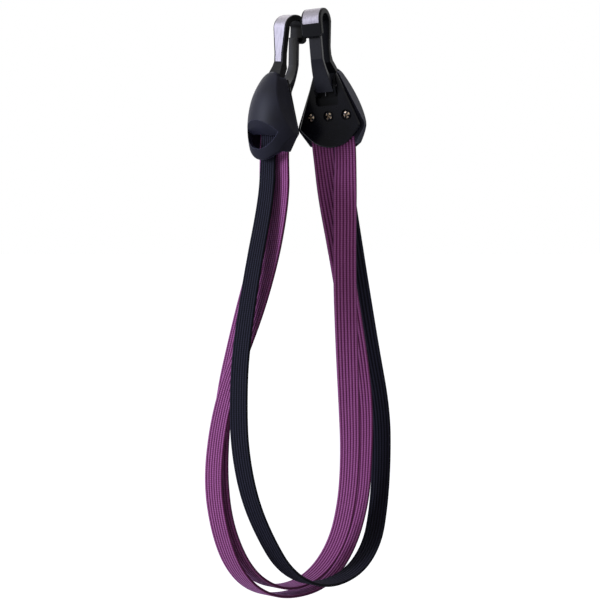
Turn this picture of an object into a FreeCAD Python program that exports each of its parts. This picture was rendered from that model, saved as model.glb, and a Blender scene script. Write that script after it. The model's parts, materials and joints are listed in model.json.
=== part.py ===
"""Elastic strap with a gated snap hook at each end, hung as a loop.

Units are millimetres, +Z is up. The origin is the centre of the left hook's seat, the middle of
its curl. Each head is modelled once in a head frame of its own: the origin is the centre of the
hook's seat, +X is across the head, +Y goes from the back plate to the domed cover, and +Z goes
from the head to the hook's crest. Both heads are placed from that one model.
"""
import FreeCAD, Part
import math
import os

from FreeCAD import Matrix, Placement, Rotation, Vector

# --- Placement of the two heads -------------------------------------------------------------
LEFT_TURN = 127.0  # about Z, so the left head shows its cover
LEFT_LEAN = 2.0  # about Y, so its lower end swings left
RIGHT_TURN = -25.0  # so the right head shows its back plate
RIGHT_LEAN = -5.5
RIGHT_SEAT = Vector(16.5, -16.0, 3.2)  # the right hook's seat, beside the left one on one ring

# --- Hook -----------------------------------------------------------------------------------
SEAT_R = 5.0  # inner radius of the curl
HOOK_T = 3.5  # thickness of the hook's section
CURL_W = 13.6  # width of the curl and the tip
ARM_W = 9.6  # width of the arm behind the gate
TIP_DROP = 8.6  # how far the tip hangs below the seat's centre
TIP_ROUND = 1.0
TIP_CORNER = 2.4  # cut off each lower corner of the tip
NECK_END = 16.0  # below the seat's centre, where the curl has narrowed to the arm
ARM_END = 22.0  # below the seat's centre, where the arm leans into the head
ARM_LEAN_H = 7.0
FLARE_START = 24.5  # below the seat's centre, where the arm starts to widen to its foot
FLARE_H = 9.0
FOOT_T = 2.8
FOOT_W = 14.8
FLANGE_W = 21.0
FLANGE_H = 5.0
EAR_T = 1.4  # thickness of an ear that carries the gate's pin
EAR_REACH = 3.2  # from the pin's centre to the ear's front edge
EAR_UP = 8.0
EAR_DOWN = 7.0
EAR_SINK = 0.5  # of the ear into the foot
STRIP_T = 0.8  # metal strip let into the hook's outer face
STRIP_PROUD = 0.15
STRIP_W = 11.0
STRIP_ARM_W = 6.0
STRIP_START = 0.8  # below the seat's centre, on the tip's side
HOOK_ROUND = 0.6

# --- Gate, its pin and its spring -----------------------------------------------------------
GATE_T = 2.4
GATE_TOP = 5.7  # below the seat's centre
GATE_TOP_W = 8.3
GATE_LEAN = 0.4  # how far the straight part leans out
GATE_BOW_Z = 23.0  # below the seat's centre, where the gate starts to bow in
GATE_BOW_DEPTH = 7.4  # from the pin's centre out to the middle of the bow
GATE_BOW_RISE = 6.6  # from the pin's centre up to the middle of the bow
GATE_HEEL_DEPTH = 2.4  # from the pin's centre out to the heel
GATE_HEEL_DROP = 3.6  # from the pin's centre down to the heel
GATE_ROUND = 0.5  # along the outer edges
PIN_Y = 5.6
PIN_DROP = 12.5  # below the head's top
PIN_R = 1.25
PIN_RUN = 0.05  # radial clearance of the gate on its pin
BARREL_R = 2.6
GATE_SIDE_GAP = 0.3  # between the gate and each ear
GATE_TIP_GAP = 0.3  # between the gate and the inside of the tip
SPRING_WIRE_R = 0.3
SPRING_COIL_R = 2.1
SPRING_TURNS = 4
SPRING_PITCH = 0.72
SPRING_LEG = 6.0
SPRING_ROOM = 0.35  # round the coil, in the gate's pocket

# --- Head: back plate and cover. Drops are measured down from the head's top ---------------
REACH = 28.0  # from the seat's centre down to the head's top
PLATE_Y = 5.0  # outer face of the back plate, level with the arm's inner face
PLATE_T = 3.0
PLATE_INSET = 2.1  # of the plate's corner behind the cover's
PLATE_TOP_INSET = 0.6
PLATE_BEVEL = 0.7
APEX_R = 10.0
CORNER_X = 23.0  # half the head's greatest width
CORNER_DROP = 37.8
CORNER_R = 5.0
CHIN_X = 17.0
CHIN_DROP = 47.0
CHIN_R = 4.0
LIP_BELOW_CHIN = 9.0
LIP_R = 19.5
PLATE_LOW_DROP = 51.4
PLATE_LOW_R = 21.0
WALL = 2.0  # of the cover's crown
RIM_W = 3.4  # of the cover's side wall, which carries the plate
COVER_DEPTH = 20.0  # from the plate's outer face to the crown of the cover
CROWN_DROP = 34.0
CROSS_R = 26.4  # radius of the crown across the head
LONG_R = 55.6  # radius of the crown along the head
RIDGE_R = 1.5  # rounding between the cover's side wall and its crown
RECESS_GAP = 0.3  # between the slot in the plate and the hook's foot
RECESS_DROP = 24.7
RECESS_ROUND = 2.0
FOOT_GAP = 0.3  # between the hook's foot and the cover
NECK_CUT_H = 7.0  # from the foot's lower end up to the cover's neck
SADDLE_W = 12.0  # rib of the cover that the foot rests on
SADDLE_H = 4.0
SADDLE_UP = 2.0  # above the foot's lower end
CHEEK_DROP = 40.5  # from here down the side walls fill out to the bands' edges

# --- Finger scoop in the cover --------------------------------------------------------------
SCOOP_HALF_W = 17.0
SCOOP_END_DROP = 35.4
SCOOP_TOP_DROP = 30.5
SCOOP_IN_DROP = 40.0
SCOOP_LOW_DROP = 49.0
SCOOP_IN_DEPTH = 11.6  # how deep the sloped face ends, from the plate's outer face
SCOOP_WALL = 1.7
SCOOP_BORDER = 1.5  # of the sloped wall beyond the scoop's outline

# --- Screws and the clamp inside ------------------------------------------------------------
SCREW_DROP = 31.4
SCREW_PITCH = 12.4
SCREW_R = 1.5
SCREW_HEAD_R = 2.75
SCREW_HEAD_H = 1.3
SCREW_HEAD_ROUND = 0.5
SCREW_LENGTH = 11.6
DRIVE_W = 0.6
DRIVE_LENGTH = 3.0
DRIVE_DEPTH = 0.8
HOLE_GAP = 0.2  # radial, round a screw's shank
BORE_R = 3.5
BORE_DEPTH = 1.4
BOSS_R = 3.4
BAR_END = 2.7  # from an outer screw's centre to the bar's end
BAR_H = 7.0
BAR_T = 2.0

# --- Elastic bands --------------------------------------------------------------------------
BAND_W = 15.0
BAND_T = 2.0
BAND_SPACING = 15.4  # between the middles of the two bands that lie side by side
BAND_SIDE_GAP = 0.4  # between the bands' outer edges and the cover
BAND_END_DROP = 28.5
TAIL_LOW_DROP = 56.0
BAND_LIE = Vector(0.78, -0.63, 0.0)  # the way the bands' width points where they hang

# The middle of each band where it hangs, from the left head round to the right one.
BLACK_ROUTE = [
    (-15, -18, -108), (-24, -36, -155), (-31, -50, -203), (-32, -57, -236), (-31, -59, -262),
    (-26, -56, -291), (-17, -48, -317), (-3, -32, -346), (18, -7, -362), (41, 20, -360),
    (55, 41, -345), (60, 56, -322), (62, 60, -291), (61, 58, -255), (52, 50, -210),
    (43, 34, -158), (35, 12, -110),
]
FRONT_ROUTE = [
    (-20, -8, -125), (-26, -20, -166), (-33, -26, -200), (-40, -30, -228), (-44, -33, -256),
    (-45, -36, -284), (-42, -36, -312), (-33, -33, -337), (-21, -22, -354), (-4, -4, -364),
    (16, 17, -361), (31, 33, -343), (38, 36, -315), (40, 34, -281), (39, 28, -250),
    (37, 18, -206), (35, 2, -155), (35, -12, -105),
]
REAR_ROUTE = [
    (-5, -21, -107), (-10, -28, -139), (-19, -33, -172), (-29, -35, -199), (-39, -36, -224),
    (-46, -38, -253), (-49, -41, -286), (-45, -41, -316), (-37, -37, -341), (-24, -26, -359),
    (-5, -6, -369), (21, 23, -368), (38, 43, -348), (48, 50, -318), (51, 51, -288),
    (53, 48, -253), (50, 42, -219), (41, 28, -184), (26, 12, -143), (19, -2, -106),
]

# --- Places that follow from the sizes ------------------------------------------------------
HOOK_R = SEAT_R + HOOK_T
APEX_Z = -REACH
PIN_Z = APEX_Z - PIN_DROP
CORNER_Z = APEX_Z - CORNER_DROP
CHIN_Z = APEX_Z - CHIN_DROP
LIP_Z = CHIN_Z - LIP_BELOW_CHIN
PLATE_LOW_Z = APEX_Z - PLATE_LOW_DROP
CROWN_Z = APEX_Z - CROWN_DROP
RECESS_LOW_Z = APEX_Z - RECESS_DROP
CHEEK_Z = APEX_Z - CHEEK_DROP
SCREW_Z = APEX_Z - SCREW_DROP
BAND_END_Z = APEX_Z - BAND_END_DROP
TAIL_LOW_Z = APEX_Z - TAIL_LOW_DROP
RECESS_W = FOOT_W + 2 * RECESS_GAP
BAR_W = 2 * (SCREW_PITCH + BAR_END)
SCREW_ROW = (-SCREW_PITCH, 0, SCREW_PITCH)
PLATE_IN_Y = PLATE_Y + PLATE_T
FRONT_Y = PLATE_Y + COVER_DEPTH
FOOT_BACK_Y = HOOK_R + PLATE_T
FOOT_FLOOR_Y = FOOT_BACK_Y - FOOT_T
BAR_FRONT_Y = PLATE_IN_Y + BAND_T
BAR_BACK_Y = BAR_FRONT_Y + BAR_T
BAND_STACK_Y = BAR_BACK_Y + BAND_T
BANDS_HALF = (BAND_SPACING + BAND_W) / 2
PAST = 1.0  # how far a cutting body runs past what it cuts


# --- Small helpers --------------------------------------------------------------------------
def side_point(y, z, x=0.0):
    """A point of a side profile, in the plane across the head at x."""
    return Vector(x, y, z)


def front_point(x, z, y=0.0):
    """A point of a front outline, at depth y."""
    return Vector(x, y, z)


def line(a, b):
    return Part.LineSegment(a, b).toShape()


def arc(a, middle, b):
    return Part.Arc(a, middle, b).toShape()


def prism(edges, direction):
    """The closed outline made of the edges, swept along direction."""
    return Part.Face(Part.Wire(edges)).extrude(direction)


def polygon_edges(points):
    return [line(a, b) for a, b in zip(points, points[1:] + points[:1])]


def box(x0, x1, y0, y1, z0, z1):
    return Part.makeBox(x1 - x0, y1 - y0, z1 - z0, Vector(x0, y0, z0))


def cross_cylinder(radius, half_length, y, z):
    """A cylinder across the head, its middle at x = 0."""
    return Part.makeCylinder(radius, 2 * half_length, Vector(-half_length, y, z), Vector(1, 0, 0))


def depth_cylinder(radius, x, z, y0, y1):
    """A cylinder from the plate side to the cover side."""
    return Part.makeCylinder(radius, y1 - y0, Vector(x, y0, z), Vector(0, 1, 0))


def outline_round(circles, y):
    """Edges that wrap circles (x, z, r), given clockwise seen from the plate side."""
    tangents = []
    count = len(circles)
    for i in range(count):
        x1, z1, r1 = circles[i]
        x2, z2, r2 = circles[(i + 1) % count]
        length = math.hypot(x2 - x1, z2 - z1)
        ux, uz = (x2 - x1) / length, (z2 - z1) / length
        along = (r1 - r2) / length
        out = math.sqrt(1 - along * along)
        nx, nz = along * ux - out * uz, along * uz + out * ux
        tangents.append(((x1 + r1 * nx, z1 + r1 * nz), (x2 + r2 * nx, z2 + r2 * nz), (nx, nz)))
    edges = []
    for i in range(count):
        x, z, r = circles[i]
        arrive, leave = tangents[i - 1], tangents[i]
        mx, mz = arrive[2][0] + leave[2][0], arrive[2][1] + leave[2][1]
        size = math.hypot(mx, mz)
        middle = front_point(x + r * mx / size, z + r * mz / size, y)
        edges.append(arc(front_point(*arrive[1], y), middle, front_point(*leave[0], y)))
        edges.append(line(front_point(*leave[0], y), front_point(*leave[1], y)))
    return edges


# --- Hook -----------------------------------------------------------------------------------
def across_mask(right, y0, y1):
    """A body as wide as the right-hand outline (x, z) and its mirror image, from y0 to y1."""
    points = right + [(-x, z) for x, z in reversed(right)]
    return prism(polygon_edges([front_point(x, z, y0) for x, z in points]), Vector(0, y1 - y0, 0))


def hook_width():
    """How wide the hook is at each height, from the seat's centre back."""
    curl, arm, foot = CURL_W / 2, ARM_W / 2, FOOT_W / 2
    right = [
        (curl, HOOK_R + PAST), (curl, 0), (arm, -NECK_END), (arm, -FLARE_START),
        (foot, -FLARE_START - FLARE_H), (foot, RECESS_LOW_Z),
    ]
    return across_mask(right, 0, FOOT_BACK_Y + PAST)


def tip_width():
    """The same for the tip alone, with its lower corners cut off."""
    curl, low = CURL_W / 2, -TIP_DROP - TIP_ROUND
    right = [(curl, HOOK_R + PAST), (curl, low + TIP_CORNER), (curl - TIP_CORNER, low)]
    return across_mask(right, -HOOK_R - PAST, 0)


def hook_side():
    """The hook's side profile, as wide as its foot."""
    half = FOOT_W / 2

    def p(y, z):
        return side_point(y, z, -half)

    lean_end = -ARM_END - ARM_LEAN_H
    edges = [
        line(p(-HOOK_R, -TIP_DROP), p(-HOOK_R, 0)),
        arc(p(-HOOK_R, 0), p(0, HOOK_R), p(HOOK_R, 0)),
        line(p(HOOK_R, 0), p(HOOK_R, -ARM_END)),
        line(p(HOOK_R, -ARM_END), p(FOOT_BACK_Y, lean_end)),
        line(p(FOOT_BACK_Y, lean_end), p(FOOT_BACK_Y, RECESS_LOW_Z)),
        line(p(FOOT_BACK_Y, RECESS_LOW_Z), p(FOOT_FLOOR_Y, RECESS_LOW_Z)),
        line(p(FOOT_FLOOR_Y, RECESS_LOW_Z), p(FOOT_FLOOR_Y, lean_end - HOOK_T)),
        line(p(FOOT_FLOOR_Y, lean_end - HOOK_T), p(SEAT_R, -ARM_END - HOOK_T)),
        line(p(SEAT_R, -ARM_END - HOOK_T), p(SEAT_R, 0)),
        arc(p(SEAT_R, 0), p(0, SEAT_R), p(-SEAT_R, 0)),
        line(p(-SEAT_R, 0), p(-SEAT_R, -TIP_DROP)),
        arc(p(-SEAT_R, -TIP_DROP), p(-SEAT_R - HOOK_T / 2, -TIP_DROP - TIP_ROUND),
            p(-HOOK_R, -TIP_DROP)),
    ]
    return prism(edges, Vector(FOOT_W, 0, 0))


def ear(side):
    """One ear of the hook's foot, which carries the gate's pin."""
    x = FOOT_W / 2 - EAR_T if side > 0 else -FOOT_W / 2
    back, front = FOOT_FLOOR_Y + EAR_SINK, PIN_Y - EAR_REACH
    points = [
        (back, PIN_Z + EAR_UP), (PIN_Y, PIN_Z + EAR_UP - PIN_R), (front, PIN_Z + PIN_R),
        (front, PIN_Z - PIN_R), (PIN_Y - PIN_R, PIN_Z - EAR_DOWN + PIN_R),
        (back, PIN_Z - EAR_DOWN),
    ]
    return prism(polygon_edges([side_point(y, z, x) for y, z in points]), Vector(EAR_T, 0, 0))


def strip():
    """The metal strip that follows the hook's outer face from the tip to the arm's end."""
    outer, inner = HOOK_R + STRIP_PROUD, HOOK_R - STRIP_T
    start, end = -STRIP_START, -ARM_END + STRIP_START
    half = STRIP_W / 2

    def p(y, z):
        return side_point(y, z, -half)

    edges = [
        line(p(-outer, start), p(-outer, 0)),
        arc(p(-outer, 0), p(0, outer), p(outer, 0)),
        line(p(outer, 0), p(outer, end)),
        line(p(outer, end), p(inner, end)),
        line(p(inner, end), p(inner, 0)),
        arc(p(inner, 0), p(0, inner), p(-inner, 0)),
        line(p(-inner, 0), p(-inner, start)),
        line(p(-inner, start), p(-outer, start)),
    ]
    body = prism(edges, Vector(STRIP_W, 0, 0))
    arm = STRIP_ARM_W / 2
    right = [(half, outer + PAST), (half, 0), (arm, -NECK_END), (arm, -ARM_END)]
    return body.common(across_mask(right, -outer - PAST, outer + PAST))


def hook():
    """Curl, tip, arm, foot and ears in one moulding, with the groove for the strip."""
    body = hook_side().common(hook_width().fuse(tip_width())).removeSplitter()
    sides = [e for e in body.Edges
             if all(abs(v.Point.x) > ARM_W / 2 - 1e-4 and v.Point.z > -FLARE_START - 1e-4
                    for v in e.Vertexes)
             and e.BoundBox.XLength < CURL_W / 2 and e.BoundBox.DiagonalLength > TIP_CORNER + HOOK_T]
    body = body.makeFillet(HOOK_ROUND, sides)
    flange = box(-FLANGE_W / 2, FLANGE_W / 2, PLATE_IN_Y, FOOT_BACK_Y,
                 RECESS_LOW_Z, RECESS_LOW_Z + FLANGE_H)
    body = body.fuse([flange, ear(1), ear(-1)])
    body = body.cut(cross_cylinder(PIN_R, FOOT_W, PIN_Y, PIN_Z))
    return body.cut(strip()).removeSplitter()


# --- Gate -----------------------------------------------------------------------------------
def gate():
    """The bowed gate: its top rests inside the tip and its root turns on the pin."""
    front_y = -SEAT_R + GATE_TIP_GAP
    bow_y = front_y - GATE_LEAN
    half = FOOT_W / 2 - EAR_T - GATE_SIDE_GAP

    def p(y, z):
        return side_point(y, z, -half)

    heel = p(PIN_Y - GATE_HEEL_DEPTH, PIN_Z - GATE_HEEL_DROP)
    bow = p(PIN_Y - GATE_BOW_DEPTH, PIN_Z + GATE_BOW_RISE)
    under_bow = p(PIN_Y - GATE_BOW_DEPTH + GATE_T, PIN_Z + GATE_BOW_RISE + GATE_T / 2)
    edges = [
        line(p(front_y, -GATE_TOP), p(bow_y, -GATE_BOW_Z)),
        arc(p(bow_y, -GATE_BOW_Z), bow, heel),
        line(heel, p(PIN_Y, PIN_Z - BARREL_R)),
        arc(p(PIN_Y, PIN_Z - BARREL_R), p(PIN_Y + BARREL_R, PIN_Z), p(PIN_Y, PIN_Z + BARREL_R)),
        arc(p(PIN_Y, PIN_Z + BARREL_R), under_bow, p(bow_y + GATE_T, -GATE_BOW_Z)),
        line(p(bow_y + GATE_T, -GATE_BOW_Z), p(front_y + GATE_T, -GATE_TOP)),
        line(p(front_y + GATE_T, -GATE_TOP), p(front_y, -GATE_TOP)),
    ]
    body = prism(edges, Vector(2 * half, 0, 0))
    top = GATE_TOP_W / 2
    right = [(top, 0), (top, -GATE_BOW_Z), (half, PIN_Z + BARREL_R), (half, PIN_Z - EAR_DOWN)]
    body = body.common(across_mask(right, -HOOK_R, HOOK_R))
    outside = [e for e in body.Edges
               if all(v.Point.y < PIN_Y - GATE_HEEL_DEPTH + 1e-4 for v in e.Vertexes)
               and e.BoundBox.ZLength > GATE_T
               and min(v.Point.y for v in e.Vertexes) < front_y + 1e-4]
    body = body.makeFillet(GATE_ROUND, outside)
    body = body.cut(cross_cylinder(PIN_R + PIN_RUN, FOOT_W, PIN_Y, PIN_Z))
    room = SPRING_COIL_R + SPRING_WIRE_R + SPRING_ROOM
    return body.cut(cross_cylinder(room, spring_half_width() + SPRING_ROOM, PIN_Y, PIN_Z))


def spring_half_width():
    return SPRING_TURNS * SPRING_PITCH / 2 + SPRING_WIRE_R


def gate_pin():
    return cross_cylinder(PIN_R, FOOT_W / 2, PIN_Y, PIN_Z)


def gate_spring():
    """Torsion spring round the pin, in the gate's pocket, with one leg down the hook's foot."""
    height = SPRING_TURNS * SPRING_PITCH
    start = Vector(SPRING_COIL_R, 0, 0)
    leg_way = Vector(0, -2 * math.pi * SPRING_COIL_R, -SPRING_PITCH).normalize()
    foot = start + leg_way * SPRING_LEG
    helix = Part.makeHelix(SPRING_PITCH, height, SPRING_COIL_R)
    spine = Part.Wire([Part.makeLine(foot, start)] + helix.Edges)
    ring = Part.Wire(Part.makeCircle(SPRING_WIRE_R, foot, leg_way))
    wire = spine.makePipeShell([ring], True, False)
    turn = Matrix(0, 0, 1, -height / 2,
                  1, 0, 0, PIN_Y,
                  0, 1, 0, PIN_Z,
                  0, 0, 0, 1)
    return wire.transformed(turn)


# --- Head -----------------------------------------------------------------------------------
def cover_circles(offset):
    """The circles that the cover's outline wraps, drawn in by offset."""
    corner = (CORNER_X - CORNER_R, CORNER_Z, CORNER_R - offset)
    chin = (CHIN_X - CHIN_R, CHIN_Z, CHIN_R - offset)
    lip = (0, LIP_Z + LIP_R, LIP_R - offset)
    apex = (0, APEX_Z - APEX_R, APEX_R - offset)
    mirrored = [(-x, z, r) for x, z, r in (chin, corner)]
    return [apex, corner, chin, lip] + mirrored


def cover_prism(offset):
    """The cover's outline, drawn in by offset, through more than the cover's depth."""
    return prism(outline_round(cover_circles(offset), PLATE_IN_Y), Vector(0, COVER_DEPTH, 0))


def dome(offset):
    """The crowned body that gives the cover its front, drawn in by offset."""
    crown_y, cross_r = FRONT_Y - offset, CROSS_R - offset
    axis_y = FRONT_Y - LONG_R
    half = CORNER_X + PAST
    edge_y = crown_y - cross_r + math.sqrt(cross_r ** 2 - half ** 2)
    a, b = Vector(-half, edge_y, CROWN_Z), Vector(half, edge_y, CROWN_Z)
    edges = [
        arc(a, Vector(0, crown_y, CROWN_Z), b),
        line(b, Vector(half, axis_y, CROWN_Z)),
        line(Vector(half, axis_y, CROWN_Z), Vector(-half, axis_y, CROWN_Z)),
        line(Vector(-half, axis_y, CROWN_Z), a),
    ]
    face = Part.Face(Part.Wire(edges))
    axis = Vector(0, axis_y, CROWN_Z)
    sweep_deg = 120
    face.rotate(axis, Vector(1, 0, 0), -sweep_deg / 2)
    return face.revolve(axis, Vector(1, 0, 0), sweep_deg)


def lens(border):
    """The scoop's outline, with a border round it, through the whole depth of the cover."""
    half, end_z = SCOOP_HALF_W + border, APEX_Z - SCOOP_END_DROP
    a, b = front_point(-half, end_z, PLATE_IN_Y), front_point(half, end_z, PLATE_IN_Y)
    top = front_point(0, APEX_Z - SCOOP_TOP_DROP + border, PLATE_IN_Y)
    low = front_point(0, APEX_Z - SCOOP_LOW_DROP, PLATE_IN_Y)
    return prism([arc(a, top, b), arc(b, low, a)], Vector(0, COVER_DEPTH, 0))


def across_head(profile):
    """A side profile (y, z) drawn right across the head."""
    return prism(polygon_edges([side_point(y, z, -CORNER_X) for y, z in profile]),
                 Vector(2 * CORNER_X, 0, 0))


def cover():
    """Hollow domed shell: open to the plate, open below for the bands, with a finger scoop."""
    outer = cover_prism(0).common(dome(0))
    ridge = [e for e in outer.Edges if min(v.Point.y for v in e.Vertexes) > PLATE_IN_Y + PAST]
    outer = outer.makeFillet(RIDGE_R, ridge)
    hollow = cover_prism(RIM_W).common(dome(WALL))
    # The mouth is as wide as the bands, so the side walls close up to their edges.
    mouth_half = BANDS_HALF + BAND_SIDE_GAP
    mouth = box(-mouth_half, mouth_half, PLATE_Y, FRONT_Y, LIP_Z - PAST, CHEEK_Z).common(dome(WALL))
    cheeks = [box(x0, x1, PLATE_IN_Y, FRONT_Y, LIP_Z, CHEEK_Z).common(outer)
              for x0, x1 in ((-CORNER_X, -mouth_half), (mouth_half, CORNER_X))]
    shell = outer.cut(hollow).cut(mouth).fuse(cheeks)

    # A sloped face leads from the crown down to the opening behind the lip.
    top_z, in_z = APEX_Z - SCOOP_TOP_DROP, APEX_Z - SCOOP_IN_DROP
    in_y = PLATE_Y + SCOOP_IN_DEPTH
    slope = across_head([(FRONT_Y, top_z), (in_y, in_z), (in_y - SCOOP_WALL, in_z),
                         (FRONT_Y - SCOOP_WALL, top_z + SCOOP_WALL), (FRONT_Y, top_z + SCOOP_WALL)])
    ledge = slope.common(lens(SCOOP_BORDER)).common(outer)
    room = across_head([(FRONT_Y + PAST, top_z + SCOOP_WALL), (FRONT_Y, top_z), (in_y, in_z),
                        (in_y, LIP_Z), (FRONT_Y + PAST, LIP_Z)])
    opening = room.common(lens(0))

    inside = dome(WALL / 2)
    bosses = [depth_cylinder(BOSS_R, x, SCREW_Z, BAR_BACK_Y if x else BAND_STACK_Y, FRONT_Y)
              for x in SCREW_ROW]
    saddle_z = RECESS_LOW_Z + SADDLE_UP
    saddle = box(-SADDLE_W / 2, SADDLE_W / 2, FOOT_BACK_Y, FRONT_Y, saddle_z, saddle_z + SADDLE_H)
    shell = shell.fuse([ledge] + [s.common(inside) for s in bosses + [saddle]]).cut(opening)
    neck = box(-RECESS_W / 2, RECESS_W / 2, PLATE_Y, FOOT_BACK_Y + FOOT_GAP,
               RECESS_LOW_Z + NECK_CUT_H, 0)
    shell = shell.cut(neck)
    for x in SCREW_ROW:
        shell = shell.cut(depth_cylinder(SCREW_R, x, SCREW_Z, PLATE_Y, screw_seat_y() + SCREW_LENGTH))
    return shell


def plate():
    """The flat back plate: a slot for the hook and gate, and three counterbores."""
    corner_x, corner_r = CORNER_X - CORNER_R, CORNER_R - PLATE_INSET
    circles = [
        (0, APEX_Z - APEX_R, APEX_R - PLATE_TOP_INSET),
        (corner_x, CORNER_Z, corner_r),
        (0, PLATE_LOW_Z + PLATE_LOW_R, PLATE_LOW_R),
        (-corner_x, CORNER_Z, corner_r),
    ]
    body = prism(outline_round(circles, PLATE_Y), Vector(0, PLATE_T, 0))
    rim = [e for e in body.Edges if all(abs(v.Point.y - PLATE_Y) < 1e-6 for v in e.Vertexes)]
    body = body.makeChamfer(PLATE_BEVEL, rim)
    half = RECESS_W / 2
    slot = box(-half, half, PLATE_Y - PAST, PLATE_IN_Y + PAST, RECESS_LOW_Z, 0)
    low_edges = [e for e in slot.Edges
                 if e.BoundBox.ZMax < RECESS_LOW_Z + 1e-6 and e.BoundBox.YLength > PLATE_T]
    body = body.cut(slot.makeFillet(RECESS_ROUND, low_edges))
    for x in SCREW_ROW:
        body = body.cut(depth_cylinder(BORE_R, x, SCREW_Z, PLATE_Y - PAST, screw_seat_y()))
        body = body.cut(depth_cylinder(SCREW_R + HOLE_GAP, x, SCREW_Z, PLATE_Y, PLATE_IN_Y + PAST))
    return body


def clamp_bar():
    body = box(-BAR_W / 2, BAR_W / 2, BAR_FRONT_Y, BAR_BACK_Y, SCREW_Z - BAR_H / 2,
               SCREW_Z + BAR_H / 2)
    for x in SCREW_ROW:
        body = body.cut(depth_cylinder(SCREW_R + HOLE_GAP, x, SCREW_Z, PLATE_Y, FRONT_Y))
    return body


def screw_seat_y():
    return PLATE_Y + BORE_DEPTH


def screws():
    """Three pan-head screws, as separate solids in one group."""
    group = []
    seat_y = screw_seat_y()
    crown_y = seat_y - SCREW_HEAD_H
    for x in SCREW_ROW:
        head = depth_cylinder(SCREW_HEAD_R, x, SCREW_Z, crown_y, seat_y)
        top = [e for e in head.Edges if abs(e.BoundBox.YMax - crown_y) < 1e-6]
        head = head.makeFillet(SCREW_HEAD_ROUND, top)
        screw = head.fuse(depth_cylinder(SCREW_R, x, SCREW_Z, seat_y, seat_y + SCREW_LENGTH))
        for w, h in ((DRIVE_LENGTH, DRIVE_W), (DRIVE_W, DRIVE_LENGTH)):
            screw = screw.cut(box(x - w / 2, x + w / 2, crown_y - PAST, crown_y + DRIVE_DEPTH,
                                  SCREW_Z - h / 2, SCREW_Z + h / 2))
        group.append(screw)
    return Part.Compound(group)


# --- Bands ----------------------------------------------------------------------------------
def head_placement(right):
    """Where a head's own frame lies: turned about Z, then leant about Y."""
    turn, lean = (RIGHT_TURN, RIGHT_LEAN) if right else (LEFT_TURN, LEFT_LEAN)
    seat = RIGHT_SEAT if right else Vector(0, 0, 0)
    return Placement(seat, Rotation(Vector(0, 1, 0), lean) * Rotation(Vector(0, 0, 1), turn))


def placed(shape, right):
    return shape.transformed(head_placement(right).toMatrix())


def route_wire(points, name):
    """Straight runs joined by tangent arcs, each as large as its two runs allow."""
    pts = [Vector(*p) for p in points]
    edges, radii = [], []
    last = pts[0]
    for before, corner, after in zip(pts, pts[1:], pts[2:]):
        back, on = before - corner, after - corner
        run = min(back.Length, on.Length)
        back.normalize()
        on.normalize()
        turn = math.pi - back.getAngle(on)
        radius = 0.45 * run / math.tan(turn / 2)
        cut = 0.45 * run
        start, end = corner + back * cut, corner + on * cut
        inward = back + on
        inward.normalize()
        centre = corner + inward * (radius / math.cos(turn / 2))
        middle = centre - inward * radius
        edges.append(line(last, start))
        edges.append(arc(start, middle, end))
        radii.append(round(radius))
        last = end
    edges.append(line(last, pts[-1]))
    wire = Part.Wire(edges)
    print(name, "hanging length", round(wire.Length, 1), "arc radii", radii)
    return wire


def section(centre, across, through):
    """A rectangle of the band's width and thickness round centre."""
    w, t = across * (BAND_W / 2), through * (BAND_T / 2)
    corners = [centre - w - t, centre + w - t, centre + w + t, centre - w + t]
    return Part.Wire(polygon_edges(corners))


def square_section(centre, tangent, across):
    """A section square to tangent, its width as near to across as that allows."""
    through = tangent.cross(across)
    through.normalize()
    width = through.cross(tangent)
    width.normalize()
    return section(centre, width, through)


def tail(right, x, y):
    """The end of a band inside a head, and its section where it leaves the head."""
    shape = box(x - BAND_W / 2, x + BAND_W / 2, y, y + BAND_T, TAIL_LOW_Z, BAND_END_Z)
    for hole_x in SCREW_ROW:
        shape = shape.cut(depth_cylinder(SCREW_R + HOLE_GAP, hole_x, SCREW_Z, PLATE_Y, FRONT_Y))
    end = section(Vector(x, y + BAND_T / 2, TAIL_LOW_Z), Vector(1, 0, 0), Vector(0, 1, 0))
    return placed(shape, right), placed(end, right)


def nearest_turned(end, other):
    """other's corners in the order that matches end's, so that a loft doesn't twist."""
    corners = [v.Point for v in end.OrderedVertexes]
    options = [v.Point for v in other.OrderedVertexes]
    best = None
    for way in (options, options[::-1]):
        for i in range(4):
            turned = way[i:] + way[:i]
            total = sum((a - b).Length for a, b in zip(corners, turned))
            if best is None or total < best[0]:
                best = (total, turned)
    return Part.Wire(polygon_edges(best[1]))


def band(name, route, place):
    """One band: tail, hanging sweep and tail, joined by short lofts that take up the twist."""
    wire = route_wire(route, name)
    start, end = Vector(*route[0]), Vector(*route[-1])
    first = Vector(*route[1]) - start
    last = end - Vector(*route[-2])
    first_section = square_section(start, first.normalize(), BAND_LIE)
    last_section = square_section(end, last.normalize(), BAND_LIE)
    sweep = Part.BRepOffsetAPI.MakePipeShell(wire)
    sweep.setBiNormalMode(BAND_LIE)
    sweep.add(first_section, False, False)
    sweep.build()
    sweep.makeSolid()
    body = sweep.shape()
    print(name, "swept volume over section times length",
          round(body.Volume / (BAND_W * BAND_T * wire.Length), 3))
    pieces = []
    for right, near in ((False, first_section), (True, last_section)):
        shape, mouth = tail(right, *place)
        pieces += [shape, Part.makeLoft([mouth, nearest_turned(mouth, near)], True, True)]
    return body.fuse(pieces).removeSplitter()


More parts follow.
